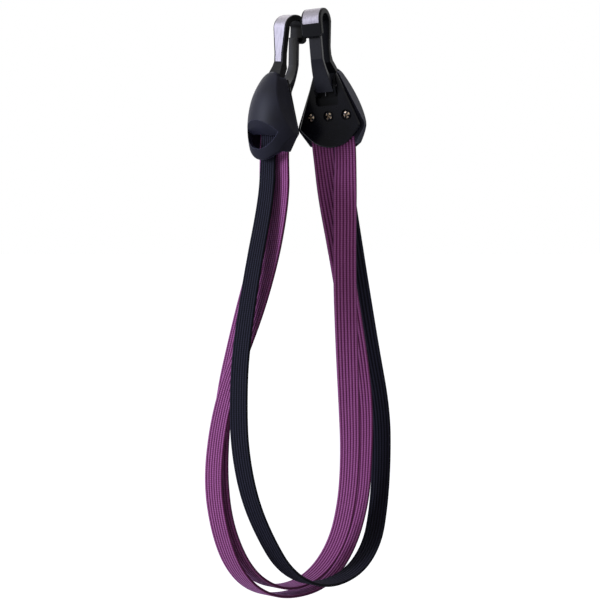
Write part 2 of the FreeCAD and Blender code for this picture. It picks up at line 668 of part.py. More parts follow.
# --- The whole strap ------------------------------------------------------------------------
def main():
    """Builds every sub-part and writes one STEP file for each."""
    os.makedirs("parts", exist_ok=True)
    shared = {
        "cover": cover(),
        "back_plate": plate(),
        "hook": hook(),
        "hook_strip": strip(),
        "gate": gate(),
        "gate_pin": gate_pin(),
        "gate_spring": gate_spring(),
        "clamp_bar": clamp_bar(),
        "plate_screws": screws(),
    }
    nodes = {}
    for side, right in (("left", False), ("right", True)):
        for name, shape in shared.items():
            nodes[f"{side}_{name}"] = placed(shape, right)
    half = BAND_SPACING / 2
    bands = [
        ("band_black", BLACK_ROUTE, (0, BAR_BACK_Y)),
        ("band_purple_front", FRONT_ROUTE, (half, PLATE_IN_Y)),
        ("band_purple_rear", REAR_ROUTE, (-half, PLATE_IN_Y)),
    ]
    for name, route, place in bands:
        nodes[name] = band(name, route, place)
    for name, shape in nodes.items():
        if not shape.isValid():
            print("NOT VALID", name)
        print(name, len(shape.Solids), "solids, volume", round(shape.Volume, 1))
        shape.exportStep(f"parts/{name}.step")


main()
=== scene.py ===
"""Looks for an elastic hook strap: three woven bands that hang as a loop between two gated hooks.

Units are metres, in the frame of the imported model. The heads' own directions are worked out from
the record's mounts and hinges, so every piece follows the construction.
"""

import json
import logging
import math
from dataclasses import dataclass, field
from enum import Enum

import bmesh
import bpy
from mathutils import Matrix, Vector

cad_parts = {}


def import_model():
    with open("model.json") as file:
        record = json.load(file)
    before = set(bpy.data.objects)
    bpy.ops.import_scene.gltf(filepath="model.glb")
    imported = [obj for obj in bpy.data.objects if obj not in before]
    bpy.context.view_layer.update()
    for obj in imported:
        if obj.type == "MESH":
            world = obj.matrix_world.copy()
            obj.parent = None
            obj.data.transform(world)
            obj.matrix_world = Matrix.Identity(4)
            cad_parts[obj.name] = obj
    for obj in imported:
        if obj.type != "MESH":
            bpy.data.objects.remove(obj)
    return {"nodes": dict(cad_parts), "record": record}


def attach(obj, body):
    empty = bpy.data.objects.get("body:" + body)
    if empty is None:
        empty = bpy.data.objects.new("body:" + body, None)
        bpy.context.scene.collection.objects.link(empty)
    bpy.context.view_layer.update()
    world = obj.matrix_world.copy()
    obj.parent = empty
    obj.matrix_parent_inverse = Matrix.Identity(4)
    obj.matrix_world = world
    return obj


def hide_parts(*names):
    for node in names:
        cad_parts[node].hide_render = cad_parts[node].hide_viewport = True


log = logging.getLogger("strap")
MM = 0.001
BAND_WIDTH_MM = 15.0
BAND_RIBS = 7


class Side(Enum):
    """Which end of the strap a head is on."""

    LEFT = "left"
    RIGHT = "right"


class Position(Enum):
    """Where a band is clamped, as a step along each head's own X."""

    MIDDLE = 0
    AHEAD = 1
    BEHIND = -1


# --- Helpers --------------------------------------------------------------------------------
def smooth(share: float) -> float:
    """Eases a share from 0 to 1 so that it sets off and arrives gently."""
    return share * share * (3 - 2 * share)


def linear(code: str) -> tuple[float, float, float, float]:
    """Turns an sRGB hex colour into linear values.

    Args:
        code: The colour as "#rrggbb".

    Returns:
        Red, green, blue and an alpha of one.
    """
    parts = [int(code[i:i + 2], 16) / 255 for i in (1, 3, 5)]
    return tuple(c / 12.92 if c <= 0.04045 else ((c + 0.055) / 1.055) ** 2.4 for c in parts) + (1.0,)


def add_node(tree: bpy.types.NodeTree, kind: str, settings: dict | None = None,
             **inputs) -> bpy.types.Node:
    """Adds one node with its settings and links.

    Args:
        tree: The node tree that gets the node.
        kind: The node's type name.
        settings: Attributes to set on the node.
        **inputs: Values or output sockets by input name, with _ for a blank, or by number as i0.

    Returns:
        The new node.
    """
    node = tree.nodes.new(kind)
    for name, value in (settings or {}).items():
        setattr(node, name, value)
    for name, value in inputs.items():
        key = int(name[1:]) if name[0] == "i" and name[1:].isdigit() else name.replace("_", " ")
        socket = node.inputs[key]
        if isinstance(value, bpy.types.NodeSocket):
            tree.links.new(value, socket)
        else:
            socket.default_value = value
    return node


def new_material(name: str, **constants) -> tuple[bpy.types.Material, bpy.types.Node]:
    """Makes a material with one principled shader whose plain sockets are set.

    Args:
        name: The finish's own name.
        **constants: Shader sockets by name, with _ for a blank.

    Returns:
        The material and its shader.
    """
    material = bpy.data.materials.new(name)
    material.use_nodes = True
    shader = material.node_tree.nodes["Principled BSDF"]
    for key, value in constants.items():
        shader.inputs[key.replace("_", " ")].default_value = value
    return material, shader


def ramp(tree: bpy.types.NodeTree, factor: bpy.types.NodeSocket,
         stops: list[tuple[float, str]]) -> bpy.types.NodeSocket:
    """Adds a colour ramp.

    Args:
        tree: The node tree.
        factor: What drives the ramp.
        stops: Places from 0 to 1 with their hex colours.

    Returns:
        The ramp's colour.
    """
    node = add_node(tree, "ShaderNodeValToRGB", i0=factor)
    while len(node.color_ramp.elements) < len(stops):
        node.color_ramp.elements.new(0.5)
    for element, (place, code) in zip(node.color_ramp.elements, stops):
        element.position = place
        element.color = linear(code)
    return node.outputs["Color"]


# --- Finishes -------------------------------------------------------------------------------
@dataclass(frozen=True)
class SoftTouchPlastic:
    """Moulded ABS with a matt soft-touch coat: a broad dim sheen, a fine grain and painted highlights
    along the edges.
    """

    name: str = "soft_touch_abs"
    dark: str = "#0f0f16"
    light: str = "#191924"
    # The pale colour near every edge is a painted highlight.
    edge_highlight: str = "#6e6e86"
    edge_highlight_share: float = 0.8
    edge_highlight_mm: float = 0.35
    cloud_mm: float = 14.3
    grain_mm: float = 0.7
    grain_depth_mm: float = 0.2
    grain_strength: float = 0.12
    roughness: float = 0.5
    specular: float = 0.14
    sheen: float = 0.08
    sheen_tint: str = "#8e92cc"

    def make(self) -> bpy.types.Material:
        """Builds the finish on Object coordinates.

        Returns:
            The material.
        """
        material, shader = new_material(self.name, Roughness=self.roughness, IOR=1.5,
                                        Specular_IOR_Level=self.specular,
                                        Sheen_Weight=self.sheen, Sheen_Roughness=0.5,
                                        Sheen_Tint=linear(self.sheen_tint))
        tree = material.node_tree
        place = add_node(tree, "ShaderNodeTexCoord").outputs["Object"]
        cloud = add_node(tree, "ShaderNodeTexNoise", Vector=place,
                         Scale=1 / (self.cloud_mm * MM), Detail=3.0)
        coat = ramp(tree, cloud.outputs[0], [(0.3, self.dark), (0.7, self.light)])
        # Close to an edge the rounded normal leaves the true one, and there a pale colour paints a
        # highlight.
        rounded = add_node(tree, "ShaderNodeBevel", {"samples": 6}, Radius=self.edge_highlight_mm * MM)
        facing = add_node(tree, "ShaderNodeNewGeometry")
        along = add_node(tree, "ShaderNodeVectorMath", {"operation": "DOT_PRODUCT"},
                         i0=rounded.outputs[0], i1=facing.outputs["Normal"])
        edge = add_node(tree, "ShaderNodeMapRange", Value=along.outputs["Value"], From_Min=0.97,
                        From_Max=0.8, To_Min=0.0, To_Max=self.edge_highlight_share)
        edge_highlight = add_node(tree, "ShaderNodeMix", {"data_type": "RGBA"}, i0=edge.outputs[0], i6=coat,
                        i7=linear(self.edge_highlight))
        tree.links.new(edge_highlight.outputs[2], shader.inputs["Base Color"])
        grain = add_node(tree, "ShaderNodeTexNoise", Vector=place, Scale=1 / (self.grain_mm * MM),
                         Detail=2.0)
        bump = add_node(tree, "ShaderNodeBump", Strength=self.grain_strength,
                        Distance=self.grain_depth_mm * MM, Height=grain.outputs[0])
        tree.links.new(bump.outputs[0], shader.inputs["Normal"])
        return material


@dataclass(frozen=True)
class PolishedPlastic:
    """Injection-moulded ABS from a polished tool: a deep black with faint flow haze."""

    name: str = "polished_abs"
    dark: str = "#060609"
    light: str = "#101018"
    haze_mm: float = 22.2
    specular: float = 0.16
    smooth_roughness: float = 0.16
    scuffed_roughness: float = 0.34

    def make(self) -> bpy.types.Material:
        """Builds the finish on Object coordinates.

        Returns:
            The material.
        """
        material, shader = new_material(self.name, IOR=1.5, Specular_IOR_Level=self.specular)
        tree = material.node_tree
        place = add_node(tree, "ShaderNodeTexCoord").outputs["Object"]
        haze = add_node(tree, "ShaderNodeTexNoise", Vector=place, Scale=1 / (self.haze_mm * MM),
                        Detail=5.0, Roughness=0.6)
        tree.links.new(ramp(tree, haze.outputs[0], [(0.35, self.dark), (0.7, self.light)]),
                       shader.inputs["Base Color"])
        rough = add_node(tree, "ShaderNodeMapRange", Value=haze.outputs[0],
                         To_Min=self.smooth_roughness, To_Max=self.scuffed_roughness)
        tree.links.new(rough.outputs[0], shader.inputs["Roughness"])
        return material


@dataclass(frozen=True)
class MouldedNylon:
    """Glass-filled nylon as moulded: satin, with short pale fibre flecks at the skin."""

    name: str
    dark: str
    light: str
    roughness: float = 0.4
    fleck_mm: float = 0.9
    fleck_depth_mm: float = 0.2
    fleck_strength: float = 0.1
    specular: float = 0.2

    def make(self) -> bpy.types.Material:
        """Builds the finish on Object coordinates.

        Returns:
            The material.
        """
        material, shader = new_material(self.name, Roughness=self.roughness, IOR=1.53,
                                        Specular_IOR_Level=self.specular)
        tree = material.node_tree
        place = add_node(tree, "ShaderNodeTexCoord").outputs["Object"]
        flecks = add_node(tree, "ShaderNodeTexNoise", Vector=place,
                          Scale=1 / (self.fleck_mm * MM), Detail=4.0, Roughness=0.7)
        tree.links.new(ramp(tree, flecks.outputs[0], [(0.35, self.dark), (0.75, self.light)]),
                       shader.inputs["Base Color"])
        bump = add_node(tree, "ShaderNodeBump", Strength=self.fleck_strength,
                        Distance=self.fleck_depth_mm * MM, Height=flecks.outputs[0])
        tree.links.new(bump.outputs[0], shader.inputs["Normal"])
        return material


@dataclass(frozen=True)
class BrushedSteel:
    """Steel brushed or drawn one way: fine lines of light and dark."""

    name: str
    dark: str
    light: str
    roughness: float = 0.36
    line_mm: float = 0.5  # the real lines are too fine to show, so they are drawn coarser
    line_squeeze: float = 0.06  # draws each speck out into a line along Z
    smoother: float = 0.06
    rougher: float = 0.1

    def make(self) -> bpy.types.Material:
        """Builds the finish on Object coordinates.

        Returns:
            The material.
        """
        material, shader = new_material(self.name, Metallic=1.0)
        tree = material.node_tree
        place = add_node(tree, "ShaderNodeTexCoord").outputs["Object"]
        squeeze = add_node(tree, "ShaderNodeMapping", Vector=place,
                           Scale=(1.0, 1.0, self.line_squeeze))
        lines = add_node(tree, "ShaderNodeTexNoise", Vector=squeeze.outputs[0],
                         Scale=1 / (self.line_mm * MM), Detail=3.0)
        tree.links.new(ramp(tree, lines.outputs[0], [(0.3, self.dark), (0.7, self.light)]),
                       shader.inputs["Base Color"])
        rough = add_node(tree, "ShaderNodeMapRange", Value=lines.outputs[0],
                         To_Min=self.roughness - self.smoother,
                         To_Max=self.roughness + self.rougher)
        tree.links.new(rough.outputs[0], shader.inputs["Roughness"])
        return material


@dataclass(frozen=True)
class ElasticWeave:
    """Woven elastic: matt yarn in raised lengthways ribs, with weft lines across them, painted shade
    in the grooves and painted highlight on the crests.
    """

    name: str
    # The groove colour is painted shade between the ribs, and the crest colour is a painted highlight
    # on them.
    groove_shade: str
    yarn: str
    crest_highlight: str
    nap: str
    sheen: float = 0.1
    roughness: float = 0.85
    specular: float = 0.12
    weft_mm: float = 1.3  # the real 0.5 mm weft is too fine to show, so it is drawn coarser
    weft_share: float = 0.16
    rib_mm: float = BAND_WIDTH_MM / BAND_RIBS
    rib_flatness: float = 0.6  # under 1 widens the high part of each rib and narrows the low part
    fuzz_mm: float = 2 / 3
    fuzz_share: float = 0.22
    relief_mm: float = 0.4
    relief_strength: float = 0.5

    def make(self) -> bpy.types.Material:
        """Builds the finish on the band's own UV map, which is in metres.

        Returns:
            The material.
        """
        material, shader = new_material(self.name, Roughness=self.roughness, IOR=1.45,
                                        Specular_IOR_Level=self.specular,
                                        Sheen_Weight=self.sheen, Sheen_Roughness=0.4,
                                        Sheen_Tint=linear(self.nap))
        tree = material.node_tree
        place = add_node(tree, "ShaderNodeUVMap", {"uv_map": "band"}).outputs[0]
        # At a scale of 1 the wave repeats every pi / 10 metres.
        weft = add_node(tree, "ShaderNodeTexWave",
                        {"wave_type": "BANDS", "bands_direction": "Y", "wave_profile": "SIN"},
                        Vector=place, Scale=math.pi / 10 / (self.weft_mm * MM), Distortion=1.2,
                        Detail=1.0, Detail_Scale=3.0)
        split = add_node(tree, "ShaderNodeSeparateXYZ", Vector=place)
        turn = add_node(tree, "ShaderNodeMath", {"operation": "MULTIPLY"}, i0=split.outputs[0],
                        i1=math.pi / (self.rib_mm * MM))
        sine = add_node(tree, "ShaderNodeMath", {"operation": "SINE"}, i0=turn.outputs[0])
        swell = add_node(tree, "ShaderNodeMath", {"operation": "ABSOLUTE"}, i0=sine.outputs[0])
        rib = add_node(tree, "ShaderNodeMath", {"operation": "POWER"}, i0=swell.outputs[0],
                       i1=self.rib_flatness)
        fuzz = add_node(tree, "ShaderNodeTexNoise", Vector=place, Scale=1 / (self.fuzz_mm * MM),
                        Detail=3.0, Roughness=0.7)
        woven = add_node(tree, "ShaderNodeMix", {"data_type": "FLOAT"}, Factor=self.weft_share,
                         A=rib.outputs[0], B=weft.outputs["Fac"])
        fuzzy = add_node(tree, "ShaderNodeMix", {"data_type": "FLOAT"}, Factor=self.fuzz_share,
                         A=woven.outputs[0], B=fuzz.outputs[0])
        # The ramp paints shade into the low parts of the rib pattern and a highlight onto its high
        # parts.
        colour = ramp(tree, fuzzy.outputs[0],
                      [(0.3, self.groove_shade), (0.66, self.yarn), (0.9, self.crest_highlight)])
        tree.links.new(colour, shader.inputs["Base Color"])
        bump = add_node(tree, "ShaderNodeBump", Strength=self.relief_strength,
                        Distance=self.relief_mm * MM, Height=fuzzy.outputs[0])
        tree.links.new(bump.outputs[0], shader.inputs["Normal"])
        return material


# --- Head frames ----------------------------------------------------------------------------
@dataclass
class HeadFrame:
    """Directions and places of one head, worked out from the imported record.

    The head's own frame has its origin at the hook's seat, X across the head, Y from the back
    plate to the cover and Z towards the hook.
    """

    side: Side
    pin_y: float = 5.6 * MM  # the gate's pin, in the head's own frame
    pin_z: float = -40.5 * MM
    seat: Vector = field(init=False)
    across: Vector = field(init=False)
    deep: Vector = field(init=False)
    up: Vector = field(init=False)

    def read(self, record: dict) -> "HeadFrame":
        """Takes the seat and the directions from the record.

        Args:
            record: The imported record.

        Returns:
            This frame.
        """
        name = self.side.value
        mount = next(m for m in record["mounts"] if m["name"] == f"{name}_hook_seat")
        joint = next(j for j in record["behaviour"]["joints"] if j["name"] == f"{name}_gate_hinge")
        self.seat = Vector(mount["pos_m"])
        self.across = Vector(mount["axis"]).normalized()
        to_pin = (Vector(joint["pos_m"]) - self.seat).normalized()
        square = self.across.cross(to_pin).normalized()
        angle = math.atan2(self.pin_y, -self.pin_z)
        self.deep = to_pin * math.sin(angle) + square * math.cos(angle)
        self.up = square * math.sin(angle) - to_pin * math.cos(angle)
        return self

    def point(self, x: float, y: float, z: float) -> Vector:
        """Places a point of the head's own frame, in millimetres, in the model's frame."""
        return self.seat + (self.across * x + self.deep * y + self.up * z) * MM

    def matrix(self) -> Matrix:
        """Returns the head's own frame as a matrix, in metres."""
        turn = Matrix((self.across, self.deep, self.up)).transposed().to_4x4()
        return Matrix.Translation(self.seat) @ turn


# --- Bands ----------------------------------------------------------------------------------
@dataclass
class ElasticBand:
    """One woven band, swept along a smooth route between the two heads."""

    name: str
    route: list[tuple[float, float, float]]
    position: Position
    clamp_depth: float  # millimetres along a head's own Y, from its seat to the band's middle
    length: float
    left_lie: Vector  # the width's direction below the left head
    right_lie: Vector
    left_shift: float = 0.0  # millimetres along the left head's own X, inside that head
    width: float = BAND_WIDTH_MM * MM
    thickness: float = 2.0 * MM
    rib_count: int = BAND_RIBS
    rib_height: float = 0.36 * MM
    edge_share: float = 0.25  # of the half thickness that is left at the very edge
    edge_curve: float = 14.0  # the more, the nearer to the edge the rounding starts
    spacing: float = 15.4
    clamp_z: float = -57.0
    mouth_z: float = -84.0
    middle_lie: Vector = field(default_factory=lambda: Vector((0.78, -0.63, 0.0)))
    twist_length: float = 0.055
    lie_length: float = 0.28
    rib_points: int = 6
    station: float = 2.0 * MM
    route_steps: int = 24

    def ends(self, heads: dict[Side, HeadFrame]) -> tuple[list[Vector], list[Vector]]:
        """Gives the band's points inside each head, outermost last.

        Args:
            heads: The head frames by side.

        Returns:
            The points in the left head and in the right head.
        """
        lists = []
        for side in Side:
            shift = self.left_shift if side is Side.LEFT else 0.0
            x = self.position.value * self.spacing / 2 + shift
            lists.append([heads[side].point(x, self.clamp_depth, z)
                          for z in (self.clamp_z, (self.clamp_z + self.mouth_z) / 2, self.mouth_z)])
        return lists[0], lists[1]

    def control_points(self, heads: dict[Side, HeadFrame]) -> list[Vector]:
        """Joins the hanging route to the points inside the heads.

        Args:
            heads: The head frames by side.

        Returns:
            The route from clamp to clamp.
        """
        left, right = self.ends(heads)
        hanging = [Vector(p) * MM for p in self.route]
        return left + hanging + right[::-1]

    def centreline(self, heads: dict[Side, HeadFrame]) -> list[Vector]:
        """Reads the smooth line of the route's spline.

        Args:
            heads: The head frames by side.

        Returns:
            Points along the band's middle.
        """
        points = self.control_points(heads)
        curve = bpy.data.curves.new(self.name + "_route", "CURVE")
        curve.dimensions = "3D"
        curve.resolution_u = self.route_steps
        spline = curve.splines.new("NURBS")
        spline.points.add(len(points) - 1)
        for control, place in zip(spline.points, points):
            control.co = (*place, 1.0)
        spline.order_u = 3
        spline.use_endpoint_u = True
        holder = bpy.data.objects.new(self.name + "_route", curve)
        mesh = bpy.data.meshes.new_from_object(holder)
        line = [v.co.copy() for v in mesh.vertices]
        bpy.data.meshes.remove(mesh)
        bpy.data.objects.remove(holder)
        bpy.data.curves.remove(curve)
        return self.evenly(line)

    def evenly(self, line: list[Vector]) -> list[Vector]:
        """Spreads points evenly along a line.

        Args:
            line: The points of the line.

        Returns:
            Points about one station apart, the two ends among them.
        """
        along = [0.0]
        for a, b in zip(line, line[1:]):
            along.append(along[-1] + (b - a).length)
        count = round(along[-1] / self.station)
        out, i = [], 0
        for k in range(count + 1):
            at = along[-1] * k / count
            while i < len(line) - 2 and along[i + 1] < at:
                i += 1
            share = (at - along[i]) / max(along[i + 1] - along[i], 1e-9)
            out.append(line[i].lerp(line[i + 1], min(share, 1.0)))
        return out

    def frames(self, line: list[Vector], heads: dict[Side, HeadFrame]) -> list[tuple[Vector, Vector]]:
        """Gives the width and thickness directions at each point of the line.

        Args:
            line: The band's middle.
            heads: The head frames by side.

        Returns:
            A pair of unit vectors for each point.
        """
        step = (line[1] - line[0]).length
        inside = (self.clamp_z - self.mouth_z) * MM
        ends = []
        for side, lie in zip(Side, (self.left_lie, self.right_lie)):
            across = heads[side].across
            ends.append(across if across.dot(lie) > 0 else -across)
        out = []
        for i in range(len(line)):
            tangent = (line[min(i + 1, len(line) - 1)] - line[max(i - 1, 0)]).normalized()
            from_left = max(0.0, i * step - inside) / self.twist_length
            from_right = max(0.0, (len(line) - 1 - i) * step - inside) / self.twist_length
            near, end = (from_left, ends[0]) if from_left < from_right else (from_right, ends[1])
            here = self.left_lie if end is ends[0] else self.right_lie
            share = max(0.0, 1 - near * self.twist_length / self.lie_length)
            lie = self.middle_lie.lerp(here, smooth(share))
            wide = end.lerp(lie, smooth(min(near, 1.0)))
            wide = (wide - tangent * wide.dot(tangent)).normalized()
            out.append((wide, tangent.cross(wide).normalized()))
        return out

    def section(self) -> list[tuple[float, float]]:
        """Draws the ribbed section.

        Returns:
            The width and thickness offsets, in order round it.
        """
        pitch = self.width / self.rib_count
        floor = self.thickness / 2 - self.rib_height
        top = []
        for rib in range(self.rib_count):
            for k in range(self.rib_points):
                share = k / self.rib_points
                swell = math.sqrt(max(0.0, 1 - (2 * share - 1) ** 2))
                across = -self.width / 2 + (rib + share) * pitch
                edge = 1 - abs(across) / (self.width / 2)
                rounding = min(1.0, math.sqrt(max(edge, 0.0) * self.edge_curve))
                rounding = max(rounding, self.edge_share)
                top.append((across, (floor + self.rib_height * swell) * rounding))
        top.append((self.width / 2, floor * self.edge_share))
        under = [(a, -t) for a, t in reversed(top)]
        return top + under

    def skin(self, line: list[Vector], frames: list[tuple[Vector, Vector]]) -> bpy.types.Mesh:
        """Sweeps the section along the line.

        Args:
            line: The band's middle.
            frames: The width and thickness directions at each point of the line.

        Returns:
            The band's mesh, with its UV map in metres.
        """
        section = self.section()
        round_it = len(section)
        vertices = [p + wide * a + thick * t for p, (wide, thick) in zip(line, frames)
                    for a, t in section]
        faces, uvs = [], []
        step = (line[1] - line[0]).length
        # The UV runs from one edge of the band, so that the woven ribs fall on the raised ones.
        u = [across + self.width / 2 for across, _ in section]
        for i in range(len(line) - 1):
            for j in range(round_it):
                k = (j + 1) % round_it
                faces.append((i * round_it + j, i * round_it + k,
                              (i + 1) * round_it + k, (i + 1) * round_it + j))
                uvs.append([(u[j], i * step), (u[k], i * step),
                            (u[k], (i + 1) * step), (u[j], (i + 1) * step)])
        last = (len(line) - 1) * round_it
        faces.append(tuple(range(round_it))[::-1])
        faces.append(tuple(range(last, last + round_it)))
        uvs.append([(u[j], 0.0) for j in reversed(range(round_it))])
        uvs.append([(u[j], 0.0) for j in range(round_it)])
        mesh = bpy.data.meshes.new(self.name)
        mesh.from_pydata(vertices, [], faces)
        layer = mesh.uv_layers.new(name="band")
        for loop, uv in zip(layer.data, [uv for face in uvs for uv in face]):
            loop.uv = uv
        form = bmesh.new()
        form.from_mesh(mesh)
        bmesh.ops.recalc_face_normals(form, faces=form.faces)
        form.to_mesh(mesh)
        form.free()
        mesh.shade_smooth()
        return mesh

    def build(self, heads: dict[Side, HeadFrame], material: bpy.types.Material,
              slot: str) -> bpy.types.Object:
        """Args:
            heads: The head frames by side.
            material: The band's finish.
            slot: The record's material slot; not used.

        Returns:
            The band.
        """
        line = self.centreline(heads)
        mesh = self.skin(line, self.frames(line, heads))
        mesh.materials.append(material)
        piece = bpy.data.objects.new("woven_" + self.name, mesh)
        bpy.context.scene.collection.objects.link(piece)
        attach(piece, "strap")
        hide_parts(self.name)
        exit_point = heads[Side.LEFT].point(self.position.value * self.spacing / 2,
                                            self.clamp_depth, self.mouth_z)
        measured = (line[1] - line[0]).length * (len(line) - 1)
        log.info("%s: %d stations, %.3f m", piece.name, len(line), measured)
        return piece


# --- Screws ---------------------------------------------------------------------------------
@dataclass
class PlateScrews:
    """The three pan-head screws of one back plate, set out by a geometry node tree."""

    side: Side
    count: int = 3
    head_r: float = 2.75
    head_h: float = 1.3
    shank_r: float = 1.5
    shank_length: float = 11.6
    pitch: float = 12.4
    row_z: float = -59.4
    seat_y: float = 6.4
    cross_w: float = 0.95
    cross_length: float = 3.4
    cross_depth: float = 0.9
    cross_taper: float = 0.45  # of its width and length that is left at the bottom
    turn_step: float = 0.6  # radians between one screw's cross and the next one's
    steps: int = 32
    sharp_deg: float = 35.0

    def screw_mesh(self) -> bpy.types.Mesh:
        """Turns one screw, with its seat at the origin and its head to -Y.

        Returns:
            The screw, with its recess.
        """
        rings = [(0.0, -self.head_h), (self.head_r * 0.45, -self.head_h * 0.98),
                 (self.head_r * 0.8, -self.head_h * 0.82), (self.head_r * 0.97, -self.head_h * 0.5),
                 (self.head_r, 0.0), (self.shank_r, 0.0), (self.shank_r, self.shank_length),
                 (0.0, self.shank_length)]
        form = bmesh.new()
        corners = [form.verts.new(Vector((r, y, 0.0)) * MM) for r, y in rings]
        chain = [form.edges.new(pair) for pair in zip(corners, corners[1:])]
        bmesh.ops.spin(form, geom=corners + chain, axis=(0, 1, 0), cent=(0, 0, 0),
                       steps=self.steps, angle=2 * math.pi)
        bmesh.ops.remove_doubles(form, verts=form.verts, dist=1e-6)
        bmesh.ops.recalc_face_normals(form, faces=form.faces)
        mesh = bpy.data.meshes.new("pan_head_screw")
        form.to_mesh(mesh)
        form.free()
        return self.cut_cross(mesh)

    def cut_cross(self, mesh: bpy.types.Mesh) -> bpy.types.Mesh:
        """Cuts a tapered cross recess into a screw's head.

        Args:
            mesh: The plain screw.

        Returns:
            The screw with its recess.
        """
        body = bpy.data.objects.new("screw_body", mesh)
        tool_mesh = bpy.data.meshes.new("cross_tool")
        form = bmesh.new()
        for turn in (0.0, math.pi / 2):
            wing = bmesh.ops.create_cube(form, size=1.0)["verts"]
            for v in wing:
                taper = 1.0 if v.co.y < 0 else self.cross_taper
                v.co = Vector((v.co.x * self.cross_length * taper, v.co.y * 2 * self.cross_depth,
                               v.co.z * self.cross_w * taper)) * MM
            bmesh.ops.rotate(form, verts=wing, cent=(0, 0, 0), matrix=Matrix.Rotation(turn, 3, "Y"))
            bmesh.ops.translate(form, verts=wing, vec=(0, -self.head_h * MM, 0))
        form.to_mesh(tool_mesh)
        form.free()
        tool = bpy.data.objects.new("cross_tool", tool_mesh)
        for o in (body, tool):
            bpy.context.scene.collection.objects.link(o)
        cut = body.modifiers.new("cross", "BOOLEAN")
        cut.operation, cut.object, cut.solver, cut.use_self = "DIFFERENCE", tool, "EXACT", True
        graph = bpy.context.evaluated_depsgraph_get()
        done = bpy.data.meshes.new_from_object(body.evaluated_get(graph))
        for o in (body, tool):
            bpy.data.objects.remove(o)
        # The recess's faces are those under the crown and within the cross's reach.
        recess = done.attributes.new("recess", "FLOAT", "FACE")
        crown = -0.93 * self.head_h * MM
        reach = 0.98 * self.cross_length / 2 * MM
        for face in done.polygons:
            radius = math.hypot(face.center.x, face.center.z)
            recess.data[face.index].value = float(crown < face.center.y < 0 and radius < reach)
        return done

    def tree(self, screw: bpy.types.Object, material: bpy.types.Material,
             bare: bpy.types.Material) -> bpy.types.NodeTree:
        """Builds the tree that sets screws out in a row.

        Args:
            screw: The screw to repeat.
            material: The screws' finish.
            bare: The finish of the recess.

        Returns:
            The node tree, with its sizes as named inputs.
        """
        group = bpy.data.node_groups.new("screw_row", "GeometryNodeTree")
        face = group.interface
        face.new_socket("Count", in_out="INPUT", socket_type="NodeSocketInt")
        face.new_socket("Pitch", in_out="INPUT", socket_type="NodeSocketFloat")
        face.new_socket("Row Height", in_out="INPUT", socket_type="NodeSocketFloat")
        face.new_socket("Seat Depth", in_out="INPUT", socket_type="NodeSocketFloat")
        face.new_socket("Geometry", in_out="OUTPUT", socket_type="NodeSocketGeometry")
        given = add_node(group, "NodeGroupInput")
        # The row starts one pitch to the side, which puts the second screw in the middle.
        first = add_node(group, "ShaderNodeMath", {"operation": "MULTIPLY"},
                         i0=given.outputs["Pitch"], i1=-1.0)
        start = add_node(group, "ShaderNodeCombineXYZ", X=first.outputs[0],
                         Y=given.outputs["Seat Depth"], Z=given.outputs["Row Height"])
        step = add_node(group, "ShaderNodeCombineXYZ", X=given.outputs["Pitch"])
        row = add_node(group, "GeometryNodeMeshLine", Count=given.outputs["Count"],
                       Start_Location=start.outputs[0], Offset=step.outputs[0])
        source = add_node(group, "GeometryNodeObjectInfo", Object=screw)
        index = add_node(group, "GeometryNodeInputIndex")
        # Each screw was driven home to a different angle.
        angle = add_node(group, "ShaderNodeMath", {"operation": "MULTIPLY"},
                         i0=index.outputs[0], i1=self.turn_step)
        turn = add_node(group, "ShaderNodeCombineXYZ", Y=angle.outputs[0])
        placed = add_node(group, "GeometryNodeInstanceOnPoints", Points=row.outputs["Mesh"],
                          Instance=source.outputs["Geometry"], Rotation=turn.outputs[0])
        real = add_node(group, "GeometryNodeRealizeInstances", Geometry=placed.outputs[0])
        dressed = add_node(group, "GeometryNodeSetMaterial", Geometry=real.outputs[0],
                           Material=material)
        recess = add_node(group, "GeometryNodeInputNamedAttribute", {"data_type": "FLOAT"},
                          Name="recess")
        bared = add_node(group, "GeometryNodeSetMaterial", Geometry=dressed.outputs[0],
                         Selection=recess.outputs["Attribute"], Material=bare)
        add_node(group, "NodeGroupOutput", Geometry=bared.outputs[0])
        return group

    def build(self, head: HeadFrame, material: bpy.types.Material,
              bare: bpy.types.Material) -> bpy.types.Object:
        """Makes the row of screws as one plain mesh.

        Args:
            head: The head that the screws belong to.
            material: The screws' finish.
            bare: The finish of the recess, where the driver has rubbed it bare.

        Returns:
            The screws.
        """
        single = bpy.data.objects.new("single_screw", self.screw_mesh())
        bpy.context.scene.collection.objects.link(single)
        holder = bpy.data.objects.new("screw_row", bpy.data.meshes.new("screw_row"))
        bpy.context.scene.collection.objects.link(holder)
        tree = self.tree(single, material, bare)
        modifier = holder.modifiers.new("row", "NODES")
        modifier.node_group = tree
        values = {"Count": self.count, "Pitch": self.pitch * MM, "Row Height": self.row_z * MM,
                  "Seat Depth": self.seat_y * MM}
        for item in tree.interface.items_tree:
            if item.in_out == "INPUT":
                modifier[item.identifier] = values[item.name]
        graph = bpy.context.evaluated_depsgraph_get()
        mesh = bpy.data.meshes.new_from_object(holder.evaluated_get(graph))
        for o in (single, holder):
            bpy.data.objects.remove(o)
        mesh.transform(head.matrix())
        mesh.shade_smooth()
        mesh.set_sharp_from_angle(angle=math.radians(self.sharp_deg))
        piece = bpy.data.objects.new(f"{self.side.value}_cross_head_screws", mesh)
        bpy.context.scene.collection.objects.link(piece)
        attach(piece, "strap")
        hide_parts(f"{self.side.value}_plate_screws")
        log.info("%s: %d faces", piece.name, len(mesh.polygons))
        return piece


